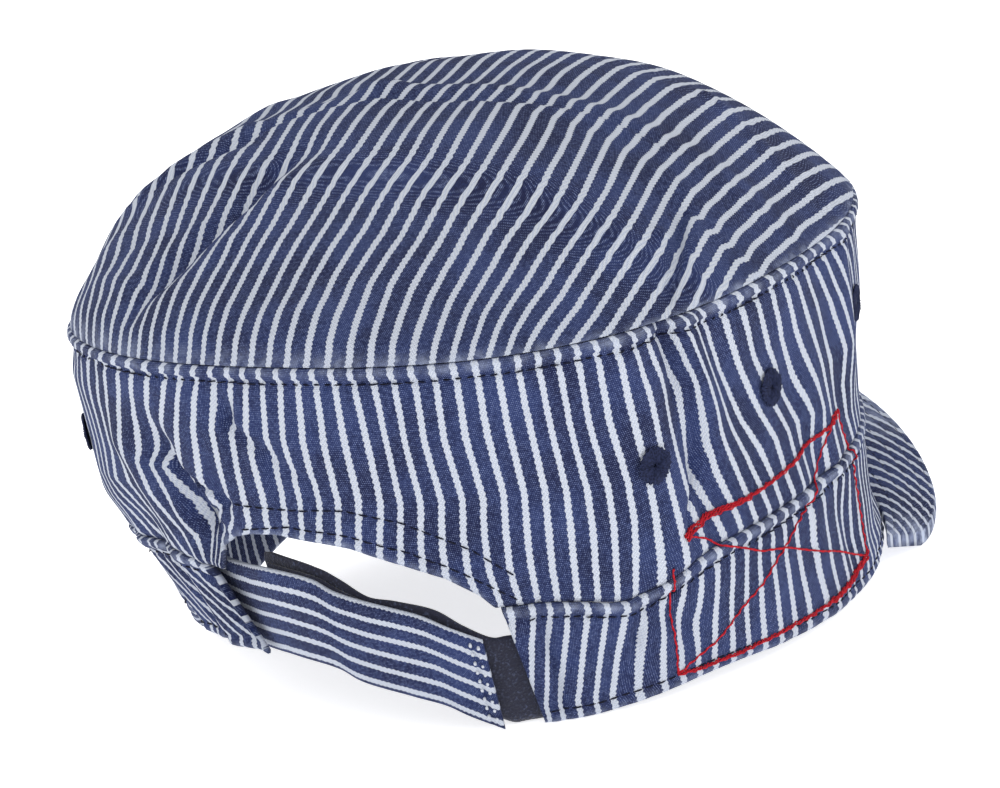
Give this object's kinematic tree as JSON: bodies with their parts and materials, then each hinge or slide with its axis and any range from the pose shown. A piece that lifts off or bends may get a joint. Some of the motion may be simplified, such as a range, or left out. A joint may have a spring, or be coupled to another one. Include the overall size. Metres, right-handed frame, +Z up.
{
  "type": "cadet cap",
  "caption": "Soft cadet cap for a child in striped cotton twill, with a domed crown, a short curved peak and an arched back opening closed by a strap on woven tape",
  "frame": {"origin": "middle of the bounding box, on the floor", "axes": "+Z up; +Y from the peak to the back opening; +X to the wearer's left"},
  "size_m": [0.1658, 0.2346, 0.1289],
  "materials": {
    "striped_denim": "matte",
    "navy_tape": "matte",
    "navy_thread": "satin"
  },
  "bodies": {
    "root": {"crown_top": "striped_denim", "side_wall": "striped_denim", "head_band": "striped_denim", "peak": "striped_denim", "back_strap": "striped_denim", "hook_tape": "navy_tape", "loop_tape": "navy_tape", "eyelet_right_back": "navy_thread", "eyelet_right_side": "navy_thread", "eyelet_right_front": "navy_thread", "eyelet_left_back": "navy_thread", "eyelet_left_side": "navy_thread", "eyelet_left_front": "navy_thread"}
  },
  "joints": []
}
